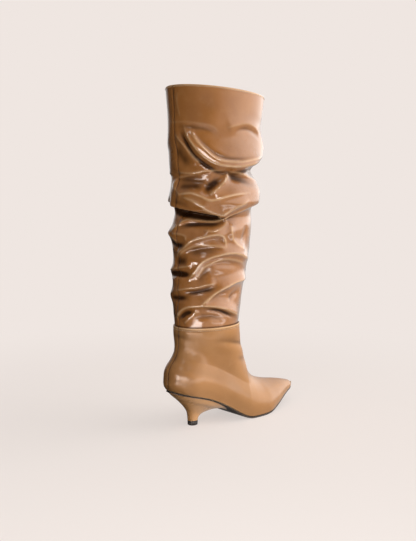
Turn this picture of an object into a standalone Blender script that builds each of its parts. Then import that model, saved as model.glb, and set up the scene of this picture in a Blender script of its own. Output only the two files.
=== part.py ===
# A slouch boot for the right foot, standing empty on its heel tip and the ball of its sole.
# Metres. +Y points to the toe, +X to the wearer's right, +Z up; the origin is under the heel tip.

import math

import bmesh
import bpy
import numpy as np

# Foot
FOOT_LENGTH = 0.2655  # back of the counter to the tip of the toe
HEEL_SET = 0.047  # back of the counter behind the heel tip's centre
BALL_WIDTH = 0.082
SEAT_WIDTH = 0.058  # across the heel seat
HEEL_HEIGHT = 0.057  # floor to the upper's lower edge at the back
TOE_SPRING = 0.0195
TOE_SHIFT = 0.010  # toe tip to the inner side of the heel's line
TOE_ROUND = 0.012  # length over which the point is rounded
SEAT_ROUND = 0.038  # length over which the back of the heel is rounded
SIDE_SWELL = 0.004  # how far the foot's sides bulge past its lower edge
SWELL_RISE = 0.05  # height over which they bulge
SWELL_END = 0.08  # length over which the bulge dies out towards the front of each ring

# Ankle seam
ANKLE_RISE = 0.090  # heel seat to the seam
ANKLE_LENGTH = 0.109
ANKLE_WIDTH = 0.083
ANKLE_SET = 0.0275  # centre of the seam ahead of the heel tip
LAP = 0.008  # how far the shaft's hem goes down inside the upper

# Shaft
SHAFT_HEIGHT = 0.349  # ankle seam to the collar at the back
COLLAR_LENGTH = 0.165
COLLAR_WIDTH = 0.123
COLLAR_SET = 0.0450
COLLAR_DROP = 0.013  # front of the collar below its back
FOLD_DEPTH = 0.0095  # the deepest fold's swell out of the leg

# Sheets and soles
UPPER_WALL = 0.0018
SHAFT_WALL = 0.0015
INSOLE_THICKNESS = 0.0022
SOLE_THICKNESS = 0.0028  # at the ball and toe
SEAT_THICKNESS = 0.0013  # of the outsole between the heel and the upper
GAP = 0.0003  # between pieces that touch

# Heel
TIP_WIDTH = 0.0142
TIP_LENGTH = 0.0150
TIP_HEIGHT = 0.0065
TIP_TAPER = 0.96  # the tip's foot as a share of its top
HEEL_WIDTH = 0.056  # across the cup, under the seat
WING_REACH = 0.060  # front of the heel's wing ahead of the heel tip

AROUND = 44  # points in each ring

# Height of the foot's lower edge along its length: station, share of the heel's height, share of the toe spring
ARCH_COLUMNS = ("station", "seat", "spring")
ARCH = (
    (0.00, 1.00, 0.00),
    (0.09, 0.87, 0.00),
    (0.16, 0.78, 0.00),
    (0.23, 0.665, 0.00),
    (0.29, 0.535, 0.00),
    (0.36, 0.35, 0.00),
    (0.42, 0.175, 0.00),
    (0.47, 0.05, 0.00),
    (0.515, 0.00, 0.00),
    (0.61, 0.00, 0.00),
    (0.68, 0.00, 0.10),
    (0.755, 0.00, 0.32),
    (0.85, 0.00, 0.64),
    (0.975, 0.00, 0.95),
    (1.00, 0.00, 1.00),
)

# Thickness of the outsole: station, and its way from the seat's thickness to the ball's
SOLE_COLUMNS = ("station", "full")
SOLE = (
    (0.00, 0.00),
    (0.30, 0.00),
    (0.47, 1.00),
    (1.00, 1.00),
)

# Outline of the foot from above: station, outer and inner edge as shares of the ball's width
OUTLINE_COLUMNS = ("station", "outer", "inner")
OUTLINE = (
    (0.00, 0.350, 0.350),
    (0.14, 0.356, 0.350),
    (0.30, 0.372, 0.305),
    (0.44, 0.430, 0.335),
    (0.56, 0.477, 0.420),
    (0.65, 0.455, 0.488),
    (0.74, 0.350, 0.498),
    (0.83, 0.212, 0.435),
    (0.91, 0.080, 0.341),
    (1.00, -0.055, 0.200),
)

# Rings of the upper from its lower edge to the ankle seam. The two ends of each ring lie on the back and
# front profiles: their way from heel or toe to the ankle, and their rise, as shares; oval is the ring's
# share of the ankle's oval.
RING_COLUMNS = ("back", "back_rise", "front", "front_rise", "oval")
RINGS = (
    (0.195, 0.000, 0.000, 0.000, 0.00),
    (0.030, 0.060, -0.012, 0.022, 0.00),
    (0.000, 0.120, 0.010, 0.048, 0.00),
    (0.040, 0.210, 0.060, 0.074, 0.00),
    (0.110, 0.300, 0.160, 0.108, 0.00),
    (0.290, 0.385, 0.316, 0.145, 0.00),
    (0.560, 0.465, 0.510, 0.186, 0.05),
    (0.800, 0.545, 0.690, 0.245, 0.14),
    (0.950, 0.625, 0.820, 0.335, 0.30),
    (1.010, 0.705, 0.905, 0.460, 0.52),
    (1.020, 0.785, 0.955, 0.610, 0.76),
    (1.005, 0.860, 0.985, 0.780, 0.94),
)

# The leg from the ankle seam to the collar: rise, and how far each size has gone from ankle to collar
LEG_COLUMNS = ("rise", "length", "width", "set")
LEG = (
    (0.00, 0.00, 0.00, 0.00),
    (0.13, 0.13, 0.17, 0.10),
    (0.27, 0.24, 0.29, 0.40),
    (0.38, 0.37, 0.42, 0.62),
    (0.53, 0.46, 0.52, 0.80),
    (0.67, 0.62, 0.66, 0.91),
    (0.84, 0.80, 0.82, 0.95),
    (1.00, 1.00, 1.00, 1.00),
)

# Folds of the leg. turn and reach are degrees round the leg from the back seam towards the outer side;
# level, slope, bend, above and below are shares of the shaft's height; out is a share of FOLD_DEPTH.
FOLD_COLUMNS = ("turn", "reach", "level", "slope", "bend", "above", "below", "out")
FOLDS = (
    (106, 66, 0.700, 0.10, 0.110, 0.085, 0.034, 1.00),
    (92, 50, 0.648, 0.05, 0.050, 0.024, 0.026, -0.50),
    (142, 40, 0.664, 0.02, 0.020, 0.034, 0.036, -0.66),
    (150, 40, 0.860, 0.00, 0.000, 0.040, 0.050, -0.30),
    (128, 34, 0.587, 0.00, 0.000, 0.034, 0.034, 0.42),
    (22, 42, 0.610, -0.05, 0.000, 0.024, 0.024, -0.60),
    (-10, 50, 0.800, 0.00, 0.000, 0.060, 0.050, 0.30),
    (78, 98, 0.528, 0.02, 0.020, 0.066, 0.024, 1.05),
    (48, 62, 0.462, 0.00, 0.010, 0.024, 0.024, -0.85),
    (42, 52, 0.378, 0.06, -0.010, 0.030, 0.024, 0.60),
    (-18, 34, 0.395, 0.00, 0.000, 0.028, 0.028, 0.62),
    (80, 52, 0.315, 0.00, -0.110, 0.032, 0.024, 0.60),
    (-20, 36, 0.225, 0.00, 0.000, 0.024, 0.024, 0.35),
    (96, 60, 0.185, 0.04, -0.020, 0.030, 0.022, 0.45),
    (48, 58, 0.095, 0.00, -0.060, 0.028, 0.022, 0.34),
    (238, 76, 0.720, 0.00, 0.050, 0.065, 0.028, 0.75),
    (205, 60, 0.610, 0.00, 0.040, 0.024, 0.024, -0.50),
    (245, 78, 0.500, 0.03, 0.030, 0.050, 0.026, 0.85),
    (232, 60, 0.440, 0.02, 0.020, 0.024, 0.024, -0.60),
    (215, 62, 0.345, 0.00, -0.050, 0.032, 0.024, 0.60),
    (240, 66, 0.225, 0.03, -0.040, 0.030, 0.024, 0.50),
    (228, 60, 0.110, 0.00, -0.030, 0.028, 0.022, 0.34),
)
LEG_RINGS = 40

# The heel from its tip to its cup: way of back, front and width from tip to cup, and the rise of back and front
HEEL_COLUMNS = ("back", "back_rise", "front", "front_rise", "width")
HEEL = (
    (0.000, 0.00, 0.00, 0.00, 0.00),
    (0.010, 0.13, 0.02, 0.62, 0.02),
    (0.045, 0.27, 0.09, 1.20, 0.08),
    (0.175, 0.43, 0.24, 1.72, 0.24),
    (0.450, 0.64, 0.50, 1.95, 0.52),
    (0.770, 0.83, 0.78, 1.55, 0.84),
    (1.000, 1.00, 1.00, 1.00, 1.00),
)

BACK_Y = -HEEL_SET
TOE_Y = FOOT_LENGTH - HEEL_SET
GROUND = SOLE_THICKNESS + GAP  # the foot's lower edge where the sole is flat on the floor
ANKLE_Z = HEEL_HEIGHT + ANKLE_RISE
ANKLE_BACK = ANKLE_SET - ANKLE_LENGTH / 2
ANKLE_FRONT = ANKLE_SET + ANKLE_LENGTH / 2
HEM_INSET = UPPER_WALL + GAP  # from the upper's outside to the shaft's outside, in the lap


def column(table, names, name):
    """One column of a table as an array."""
    return np.array([row[names.index(name)] for row in table], float)


def smooth(at, xs, ys):
    """A curve through the points (xs, ys) that doesn't swing past them, read at the values of at."""
    step = np.diff(xs)
    rise = np.diff(ys) / step
    slope = np.zeros(len(xs))
    level = rise[:-1] * rise[1:] <= 0
    slope[1:-1] = np.where(level, 0, 2 * rise[:-1] * rise[1:] / np.where(level, 1, rise[:-1] + rise[1:]))
    slope[0], slope[-1] = rise[0], rise[-1]
    at = np.clip(at, xs[0], xs[-1])
    i = np.clip(np.searchsorted(xs, at, side="right") - 1, 0, len(step) - 1)
    t = (at - xs[i]) / step[i]
    start = ys[i] * (1 + 2 * t) * (1 - t) ** 2 + step[i] * slope[i] * t * (1 - t) ** 2
    end = ys[i + 1] * t * t * (3 - 2 * t) - step[i] * slope[i + 1] * t * t * (1 - t)
    return start + end


def read(table, names, key, name, at):
    """The table's column at values of its key column, on a smooth curve."""
    return smooth(at, column(table, names, key), column(table, names, name))


def station(y):
    """Share of the foot's length at y."""
    return (np.asarray(y, float) - BACK_Y) / FOOT_LENGTH


def foot_edge(y):
    """Height of the foot's lower edge, where the upper meets the sole."""
    at = station(y)
    seat = read(ARCH, ARCH_COLUMNS, "station", "seat", at)
    spring = read(ARCH, ARCH_COLUMNS, "station", "spring", at)
    return GROUND + (HEEL_HEIGHT - GROUND) * seat + TOE_SPRING * spring


def rounded(distance, length):
    """0 at distance 0 and 1 from length on, along a quarter oval."""
    left = 1 - np.clip(distance / length, 0, 1)
    return np.sqrt(np.clip(1 - left**2.2, 0, 1))


def middle(y):
    """The foot's centre line from above, which turns inwards to the toe."""
    return -TOE_SHIFT * station(y) ** 3


def sides(y, back=BACK_Y, front=TOE_Y, spread=0.0):
    """The outer and inner x of the foot's outline, rounded towards its own back and front."""
    at = station(y)
    ends = rounded(y - back, SEAT_ROUND) * rounded(front - y, TOE_ROUND)
    heel = 1 - np.clip(at / 0.3, 0, 1)
    seat = SEAT_WIDTH / 2
    outer = read(OUTLINE, OUTLINE_COLUMNS, "station", "outer", at) * BALL_WIDTH
    inner = read(OUTLINE, OUTLINE_COLUMNS, "station", "inner", at) * BALL_WIDTH
    outer = outer * (1 - heel) + seat * heel
    inner = inner * (1 - heel) + seat * heel
    centre = middle(y)
    return centre + (outer + spread - centre) * ends, centre - (inner + spread + centre) * ends


def ring_ends(row):
    """The back and front point (y, z) of one row of RINGS."""
    back, back_rise, front, front_rise, _ = row
    toe_z = float(foot_edge(TOE_Y))
    back_point = (BACK_Y + back * (ANKLE_BACK - BACK_Y), HEEL_HEIGHT + back_rise * ANKLE_RISE)
    front_point = (TOE_Y + front * (ANKLE_FRONT - TOE_Y), toe_z + front_rise * (ANKLE_Z - toe_z))
    return back_point, front_point


def ridge(y):
    """Height of the line that runs over the toe and instep, carried on up past the ankle."""
    ends = [ring_ends(row)[1] for row in reversed(RINGS) if row[2] > 0]
    ys = np.array([ANKLE_FRONT - 1.2 * ANKLE_LENGTH, ANKLE_FRONT] + [p[0] for p in ends] + [TOE_Y])
    zs = np.array([ANKLE_Z + 2.6 * ANKLE_LENGTH, ANKLE_Z] + [p[1] for p in ends] + [ring_ends(RINGS[1])[1][1]])
    return smooth(y, ys, zs)


def upper_ring(row, turns):
    """One ring of the foot part: its points at the given turns from the back over the outer side."""
    (back_y, back_z), (front_y, front_z) = ring_ends(row)
    oval = row[4]
    along = (1 - np.cos(turns)) / 2
    y = back_y + (front_y - back_y) * along
    edge = foot_edge(y)
    back_lift = back_z - float(foot_edge(back_y))
    front_lift = front_z - float(foot_edge(front_y))
    follow = edge + back_lift + (front_lift - back_lift) * along
    z = follow * (1 - oval) + (back_z + (front_z - back_z) * along) * oval
    high = np.clip((z - edge) / np.maximum(ridge(y) - edge, GAP), 0, 1)
    arch = (1 - high**2.0) ** 0.62
    bulge = np.sin(np.pi * np.clip((z - edge) / SWELL_RISE, 0, 1))
    swell = SIDE_SWELL * bulge * rounded(front_y - y, SWELL_END)
    outer, inner = sides(y, back=back_y, front=max(front_y, TOE_Y), spread=swell)
    centre = middle(y)
    outer_side = np.sin(turns) >= 0
    lens = centre + (np.where(outer_side, outer, inner) - centre) * arch
    ring_oval = ANKLE_WIDTH / 2 * np.sin(turns)
    return np.stack([lens * (1 - oval) + ring_oval * oval, y, z], axis=1)


def oval_ring(z, turns, length=ANKLE_LENGTH, width=ANKLE_WIDTH, centre=ANKLE_SET):
    """A level oval ring."""
    return np.stack([width / 2 * np.sin(turns), centre - length / 2 * np.cos(turns), z + 0 * turns], axis=1)


def ring_turns():
    """Angles round a ring, from the back over the outer side."""
    return np.arange(AROUND) * 2 * math.pi / AROUND


def upper_outside():
    """All rings of the foot part, from its lower edge to the level ankle seam."""
    turns = ring_turns()
    rings = [upper_ring(row, turns) for row in RINGS]
    rings += [oval_ring(ANKLE_Z - LAP, turns), oval_ring(ANKLE_Z, turns)]
    return np.array(rings)


def shifted(rings, depth):
    """The rings moved inwards by depth, square to their surface."""
    round_way = np.roll(rings, -1, axis=1) - np.roll(rings, 1, axis=1)
    up_way = np.gradient(rings, axis=0)
    inward = np.cross(up_way, round_way)
    inward /= np.maximum(np.linalg.norm(inward, axis=2, keepdims=True), 1e-12)
    return rings + inward * depth


def fold_swell(turns, level):
    """How far the folds push the leg out at each turn (radians) and level (share of the shaft)."""
    total = np.zeros(np.broadcast(turns, level).shape)
    for turn, reach, height, slope, bend, above, below, out in FOLDS:
        away = (np.degrees(turns) - turn + 180) % 360 - 180
        quarter = away / 90
        rise = level - (height + slope * quarter + bend * quarter**2)
        width = np.where(rise > 0, above, below)
        total = total + out * np.exp(-((rise / width) ** 2) - (away / reach) ** 2)
    calm = np.clip(level / 0.05, 0, 1) * np.clip((1 - level) / 0.12, 0, 1)
    return FOLD_DEPTH * total * calm**0.8


def leg_ring(level, turns):
    """One ring of the leg at a share of the shaft's height, with its folds."""
    ankle_length, ankle_width = ANKLE_LENGTH - 2 * HEM_INSET, ANKLE_WIDTH - 2 * HEM_INSET
    length = ankle_length + (COLLAR_LENGTH - ankle_length) * read(LEG, LEG_COLUMNS, "rise", "length", level)
    width = ankle_width + (COLLAR_WIDTH - ankle_width) * read(LEG, LEG_COLUMNS, "rise", "width", level)
    centre = ANKLE_SET + (COLLAR_SET - ANKLE_SET) * read(LEG, LEG_COLUMNS, "rise", "set", level)
    swell = fold_swell(turns, level)
    x = (width / 2 + swell) * np.sin(turns)
    y = centre - (length / 2 + swell) * np.cos(turns)
    z = ANKLE_Z + SHAFT_HEIGHT * level - COLLAR_DROP * level * (1 - np.cos(turns)) / 2
    return np.stack([x, y, z], axis=1)


def shaft_outside():
    """All rings of the shaft, from the hem inside the upper to the collar."""
    turns = ring_turns()
    length, width = ANKLE_LENGTH - 2 * HEM_INSET, ANKLE_WIDTH - 2 * HEM_INSET
    rings = [oval_ring(ANKLE_Z - LAP, turns, length, width)]
    rings += [leg_ring(level, turns) for level in np.linspace(0, 1, LEG_RINGS)]
    return np.array(rings)


def material(name, color, roughness, coat=0.0):
    made = bpy.data.materials.new(name)
    made.use_nodes = True
    shader = made.node_tree.nodes["Principled BSDF"]
    shader.inputs["Base Color"].default_value = (*color, 1)
    shader.inputs["Roughness"].default_value = roughness
    shader.inputs["Metallic"].default_value = 0
    shader.inputs["Coat Weight"].default_value = coat
    made.diffuse_color = (*color, 1)
    return made


def add_object(name, points, faces, surface):
    """A mesh object from points and faces; points that fall together are joined."""
    mesh = bpy.data.meshes.new(name)
    mesh.from_pydata([tuple(p) for p in points], [], faces)
    made = bmesh.new()
    made.from_mesh(mesh)
    bmesh.ops.remove_doubles(made, verts=made.verts, dist=1e-6)
    bmesh.ops.triangulate(made, faces=[f for f in made.faces if len(f.verts) > 3])
    bmesh.ops.recalc_face_normals(made, faces=made.faces)
    if made.calc_volume(signed=True) < 0:
        bmesh.ops.reverse_faces(made, faces=made.faces)
    made.to_mesh(mesh)
    made.free()
    mesh.shade_smooth()
    mesh.set_sharp_from_angle(angle=math.radians(40))
    mesh.materials.append(surface)
    body = bpy.data.objects.new(name, mesh)
    bpy.context.scene.collection.objects.link(body)
    return body


def ring_faces(ring_count, around, closed):
    """Quads between rings of points; closed also joins the last ring to the first."""
    faces = []
    for i in range(ring_count if closed else ring_count - 1):
        a, b = i * around, (i + 1) % ring_count * around
        for j in range(around):
            k = (j + 1) % around
            faces.append((a + j, a + k, b + k, b + j))
    return faces


def add_sleeve(name, outside, inside, surface):
    """A hollow wall, open at both ends, between its outside rings and its inside rings."""
    rings = np.concatenate([outside, inside[::-1]])
    return add_object(name, rings.reshape(-1, 3), ring_faces(len(rings), outside.shape[1], True), surface)


def add_turned(name, rings, surface):
    """A solid body through rings whose first and last are drawn together to a point."""
    rings = np.array(rings)
    return add_object(name, rings.reshape(-1, 3), ring_faces(len(rings), rings.shape[1], False), surface)


def add_plate(name, ys, outer, inner, top, bottom, surface, across=6):
    """A plate that follows a curve: at each y a strip from inner to outer x, between bottom and top heights."""
    share = np.linspace(0, 1, across)
    x = inner[:, None] + (outer - inner)[:, None] * share
    y = np.repeat(ys[:, None], across, axis=1)
    upper_side = np.stack([x, y, np.repeat(top[:, None], across, axis=1)], axis=2)
    lower_side = np.stack([x, y, np.repeat(bottom[:, None], across, axis=1)], axis=2)
    rings = np.concatenate([upper_side, lower_side[:, ::-1]], axis=1)
    return add_object(name, rings.reshape(-1, 3), ring_faces(len(rings), rings.shape[1], False), surface)


def foot_stations(count, back, front):
    """Values of y from back to front, closer together at both ends."""
    return back + (front - back) * (1 - np.cos(np.linspace(0, math.pi, count))) / 2


def sole_stations():
    """The y of each cross section of the outsole, which are those of the upper's lowest ring."""
    return foot_stations(AROUND // 2 + 1, ring_ends(RINGS[0])[0][0], TOE_Y)


def seat_line(y):
    """Height of the foot's lower edge as the outsole has it, straight between its cross sections."""
    ys = sole_stations()
    return np.interp(y, ys, foot_edge(ys))


def sole_thickness(y):
    """Thickness of the outsole at y."""
    full = read(SOLE, SOLE_COLUMNS, "station", "full", station(y))
    return SEAT_THICKNESS + (SOLE_THICKNESS - SEAT_THICKNESS) * full


def sole_under(y):
    """Height of the outsole's lower face, straight between its cross sections."""
    ys = sole_stations()
    return np.interp(y, ys, foot_edge(ys) - GAP - sole_thickness(ys))


def add_upper(surface):
    outside = upper_outside()
    inside = shifted(outside, UPPER_WALL)
    inside[0, :, 2] = seat_line(inside[0, :, 1])
    inside[-1, :, 2] = ANKLE_Z
    return add_sleeve("upper", outside, inside, surface)


def add_shaft(surface):
    outside = shaft_outside()
    inside = shifted(outside, SHAFT_WALL)
    inside[0, :, 2] = outside[0, :, 2]
    inside[-1, :, 2] = outside[-1, :, 2]
    return add_sleeve("shaft", outside, inside, surface)


def add_outsole(surface):
    back = ring_ends(RINGS[0])[0][0]
    ys = sole_stations()
    outer, inner = sides(ys, back=back)
    top = foot_edge(ys) - GAP
    return add_plate("outsole", ys, outer, inner, top, top - sole_thickness(ys), surface)


def add_insole(surface):
    inset = UPPER_WALL + GAP * 3
    back = ring_ends(RINGS[0])[0][0] + inset
    ys = foot_stations(26, back, TOE_Y - 3 * inset)
    outer, inner = sides(ys, back=back, front=TOE_Y - 3 * inset, spread=-inset)
    bottom = seat_line(ys)
    return add_plate("insole", ys, outer, inner, bottom + INSOLE_THICKNESS, bottom, surface)


def heel_ring(row, turns):
    """One ring of the heel. Its front edge is broad and its back is round."""
    back, back_rise, front, front_rise, width = row
    cup_back = ring_ends(RINGS[0])[0][0]
    back_y = -TIP_LENGTH / 2 + back * (cup_back + TIP_LENGTH / 2)
    front_y = TIP_LENGTH / 2 + front * (WING_REACH - TIP_LENGTH / 2)
    low = TIP_HEIGHT + GAP
    back_top, front_top = (float(sole_under(y)) - GAP for y in (cup_back, WING_REACH))
    back_z = low + back_rise * (back_top - low)
    front_z = low + front_rise * (front_top - low)
    along = (1 - np.cos(turns)) / 2
    y = back_y + (front_y - back_y) * along
    half = TIP_WIDTH / 2 + width * (HEEL_WIDTH - TIP_WIDTH) / 2
    x = half * np.sign(np.sin(turns)) * np.abs(np.sin(turns)) ** 0.8
    z = back_z + (front_z - back_z) * along
    under = sole_under(y) - GAP
    z = z + (under - z) * back_rise**6
    return np.stack([x, y, np.minimum(z, under)], axis=1)


def add_heel(surface):
    turns = ring_turns()
    rings = [heel_ring(row, turns) for row in HEEL]
    cap = rings[-1]
    centre = cap.mean(axis=0)
    inner_caps = []
    for share in (0.7, 0.4, 0.0):
        ring = centre + (cap - centre) * share
        ring[:, 2] = sole_under(ring[:, 1]) - GAP
        inner_caps.append(ring)
    foot = rings[0].mean(axis=0) + 0 * rings[0]
    return add_turned("heel", [foot, *rings, *inner_caps], surface)


def add_heel_tip(surface):
    turns = ring_turns()
    top = heel_ring(HEEL[0], turns)
    top[:, 2] = TIP_HEIGHT
    foot = top * (TIP_TAPER, TIP_TAPER, 0)
    return add_turned("heel_tip", [0 * foot, foot, top, top * (0, 0, 1)], surface)


def build():
    for old in list(bpy.data.objects):
        bpy.data.objects.remove(old)
    patent = material("tan_patent", (0.42, 0.235, 0.115), 0.16, 1.0)
    leather = material("tan_leather", (0.47, 0.275, 0.145), 0.30, 0.6)
    sole = material("dark_sole", (0.045, 0.025, 0.015), 0.45)
    rubber = material("dark_rubber", (0.03, 0.02, 0.015), 0.60)
    lining = material("beige_lining", (0.50, 0.38, 0.26), 0.70)
    add_upper(leather)
    add_shaft(patent)
    add_outsole(sole)
    add_heel(leather)
    add_heel_tip(rubber)
    add_insole(lining)


build()
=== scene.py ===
import math

import bmesh
import bpy
import numpy as np
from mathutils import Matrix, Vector


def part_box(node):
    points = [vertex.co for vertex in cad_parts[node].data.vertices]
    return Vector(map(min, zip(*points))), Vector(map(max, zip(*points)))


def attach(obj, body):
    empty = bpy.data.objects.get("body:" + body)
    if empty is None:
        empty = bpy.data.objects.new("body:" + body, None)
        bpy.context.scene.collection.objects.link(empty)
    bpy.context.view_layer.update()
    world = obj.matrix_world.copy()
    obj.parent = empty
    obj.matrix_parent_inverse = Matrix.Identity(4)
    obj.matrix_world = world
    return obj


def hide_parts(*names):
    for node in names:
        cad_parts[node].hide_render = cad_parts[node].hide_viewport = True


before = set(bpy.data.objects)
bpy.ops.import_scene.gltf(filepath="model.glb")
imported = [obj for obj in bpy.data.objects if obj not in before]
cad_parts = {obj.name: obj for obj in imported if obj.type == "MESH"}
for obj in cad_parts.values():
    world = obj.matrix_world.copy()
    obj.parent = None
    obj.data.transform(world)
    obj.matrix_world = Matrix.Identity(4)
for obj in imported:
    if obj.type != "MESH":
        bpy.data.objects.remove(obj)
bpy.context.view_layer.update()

# A slouch boot for the right foot: +Y to the toe, +X to the wearer's right, metres.
mm = 0.001


# Shader maths: a wire is a socket that can be used in sums
class Wire:
    def __init__(self, nodes, socket):
        self.nodes, self.socket = nodes, socket

    def sum(self, operation, first, second):
        return self.nodes.node("ShaderNodeMath", {"operation": operation}, {0: first, 1: second})

    def __add__(self, other):
        return self.sum("ADD", self, other)

    def __radd__(self, other):
        return self.sum("ADD", other, self)

    def __sub__(self, other):
        return self.sum("SUBTRACT", self, other)

    def __rsub__(self, other):
        return self.sum("SUBTRACT", other, self)

    def __mul__(self, other):
        return self.sum("MULTIPLY", self, other)

    def __rmul__(self, other):
        return self.sum("MULTIPLY", other, self)

    def __pow__(self, other):
        return self.sum("POWER", self, other)


# The nodes of a material or of the world, and the shader that they feed
class Nodes:
    def __init__(self, tree, shader):
        self.tree, self.shader = tree, tree.nodes[shader]

    # one node: its type, settings set first, then the values or wires of its sockets
    def node(self, kind, settings=None, sockets=None, output=0):
        made = self.tree.nodes.new(kind)
        for key, value in (settings or {}).items():
            setattr(made, key, value)
        for key, value in (sockets or {}).items():
            if isinstance(value, Wire):
                self.tree.links.new(value.socket, made.inputs[key])
            elif value is not None:
                made.inputs[key].default_value = value
        return Wire(self, made.outputs[output])

    def place(self):
        return self.node("ShaderNodeTexCoord", output="Object")

    def stretched(self, scale):
        return self.node("ShaderNodeMapping", {}, {"Vector": self.place(), "Scale": scale})

    def noise(self, scale, detail=3.0, roughness=0.5, vector=None):
        return self.node("ShaderNodeTexNoise", {}, {
            "Vector": vector or self.place(), "Scale": scale, "Detail": detail, "Roughness": roughness})

    def attribute(self, name):
        return self.node("ShaderNodeAttribute", {"attribute_name": name}, {}, "Fac")

    def clamped(self, value, low, high, toLow=0.0, toHigh=1.0):
        return self.node("ShaderNodeMapRange", {"clamp": True, "interpolation_type": "SMOOTHSTEP"}, {
            "Value": value, "From Min": low, "From Max": high, "To Min": toLow, "To Max": toHigh})

    def blend(self, share, first, second):
        return self.node("ShaderNodeMix", {"data_type": "RGBA"}, {0: share, 6: first, 7: second}, 2)

    def bump(self, height, distance, under=None):
        return self.node("ShaderNodeBump", {}, {
            "Height": height, "Distance": distance, "Strength": 1.0, "Normal": under})

    def feed(self, socket, wire):
        self.tree.links.new(wire.socket, self.shader.inputs[socket])
        return self


# A material, with the sockets that are the same all over it
class Finish(Nodes):
    def __init__(self, name, **fixed):
        self.material = bpy.data.materials.new(name)
        self.material.use_nodes = True
        super().__init__(self.material.node_tree, "Principled BSDF")
        for socket, value in fixed.items():
            self.shader.inputs[socket.replace("_", " ")].default_value = value


# Curves through the rows of a table. The curve keeps between its points: the slope at a point is the
# harmonic mean of the slopes on both sides, and none where they differ in sign.
def curve(at, xs, ys):
    xs, ys = np.asarray(xs, float), np.asarray(ys, float)
    step = np.diff(xs)
    rise = np.diff(ys) / step
    slope = np.zeros(len(xs))
    turns = rise[:-1] * rise[1:] <= 0
    slope[1:-1] = np.where(turns, 0, 2 * rise[:-1] * rise[1:] / np.where(turns, 1, rise[:-1] + rise[1:]))
    slope[0], slope[-1] = rise[0], rise[-1]
    at = np.clip(at, xs[0], xs[-1])
    i = np.clip(np.searchsorted(xs, at, side="right") - 1, 0, len(step) - 1)
    t = (at - xs[i]) / step[i]
    start = ys[i] * (1 + 2 * t) * (1 - t) ** 2 + step[i] * slope[i] * t * (1 - t) ** 2
    return start + ys[i + 1] * t * t * (3 - 2 * t) - step[i] * slope[i + 1] * t * t * (1 - t)


def column(rows, index):
    return [row[index] for row in rows]


# One column of a table, read along its first column
def tableAt(rows, at, index):
    return curve(at, column(rows, 0), column(rows, index))


# The rows of a table with more rows between them, each column along its own curve
def moreRows(rows, count):
    at, places = np.linspace(0, len(rows) - 1, count), np.arange(len(rows))
    return np.stack([curve(at, places, column(rows, k)) for k in range(len(rows[0]))], axis=1)


# A smooth path through a few points: each stretch is a cubic whose ends lean along the neighbours' chord
def path(points, count):
    points = np.asarray(points, float)
    ends = np.vstack([2 * points[0] - points[1], points, 2 * points[-1] - points[-2]])
    at = np.linspace(0, len(points) - 1, count)
    i = np.clip(at.astype(int), 0, len(points) - 2)
    t = (at - i)[:, None]
    a, b, c, d = ends[i], ends[i + 1], ends[i + 2], ends[i + 3]
    squares, cubes = 2 * a - 5 * b + 4 * c - d, 3 * b - a - 3 * c + d
    return 0.5 * (2 * b + (c - a) * t + squares * t ** 2 + cubes * t ** 3)


# From 0 to 1, slow at both ends
def ease(x):
    x = np.clip(x, 0, 1)
    return x * x * (3 - 2 * x)


# 1 along a path and less over the first and last part of it; blunt ends begin above 0
def fadeEnds(share, part, blunt=0.0):
    return ease(share / part + blunt) * ease((1 - share) / part + blunt)


# Degrees from one turn to others, between -180 and 180
def turnsFrom(start, turns):
    return (turns - start + 180) % 360 - 180


# Degrees to the back seam, either way round
def seamTurns(turns):
    return np.minimum(turns % 360, 360 - turns % 360)


# Soft noise on a lattice that closes round the leg: random heights at cell corners, eased between them
def softNoise(around, up, cellsAround, cellsUp, seed):
    corners = np.random.default_rng(seed).uniform(-1, 1, (cellsUp + 2, cellsAround))
    u, v = (around % 1) * cellsAround, np.clip(up, 0, 1) * cellsUp
    i, j = u.astype(int), v.astype(int)
    s, t = ease(u - i), ease(v - j)
    k = (i + 1) % cellsAround
    i = i % cellsAround
    low = corners[j, i] * (1 - s) + corners[j, k] * s
    high = corners[j + 1, i] * (1 - s) + corners[j + 1, k] * s
    return low * (1 - t) + high * t


# A mesh from points and quads. Its values are numbers kept at its points, which materials read. A closed
# shape whose volume comes out less than 0 is turned the right way out.
def addMesh(name, points, faces, finish, slot, replaces=None, merge=False, values=None):
    mesh = bpy.data.meshes.new(name)
    mesh.vertices.add(len(points))
    mesh.vertices.foreach_set("co", points.astype(np.float32).ravel())
    mesh.loops.add(faces.size)
    mesh.loops.foreach_set("vertex_index", faces.astype(np.int32).ravel())
    mesh.polygons.add(len(faces))
    mesh.polygons.foreach_set("loop_start", np.arange(0, faces.size, 4, dtype=np.int32))
    mesh.update(calc_edges=True)
    for key, data in (values or {}).items():
        mesh.attributes.new(key, "FLOAT", "POINT").data.foreach_set("value", data.astype(np.float32).ravel())
    if slot:
        made = bmesh.new()
        made.from_mesh(mesh)
        if merge:
            bmesh.ops.remove_doubles(made, verts=made.verts, dist=1e-6)
            bmesh.ops.dissolve_degenerate(made, edges=made.edges, dist=1e-7)
        if made.calc_volume(signed=True) < 0:
            bmesh.ops.reverse_faces(made, faces=made.faces)
        made.to_mesh(mesh)
        made.free()
    mesh.shade_smooth()
    mesh.materials.append(finish.material)
    piece = bpy.data.objects.new(name, mesh)
    bpy.context.scene.collection.objects.link(piece)
    if slot:
        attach(piece, "root")
    if replaces:
        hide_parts(replaces)
    return piece


# Corners of the quads between the points of a grid that closes round its columns, and maybe over its rows
def quads(rows, columns, closeOver=False):
    r = np.arange(rows if closeOver else rows - 1)[:, None]
    c = np.arange(columns)[None, :]
    r2, c2 = (r + 1) % rows, (c + 1) % columns
    corners = (r * columns + c, r * columns + c2, r2 * columns + c2, r2 * columns + c)
    return np.stack(corners, axis=-1).reshape(-1, 4)


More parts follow.
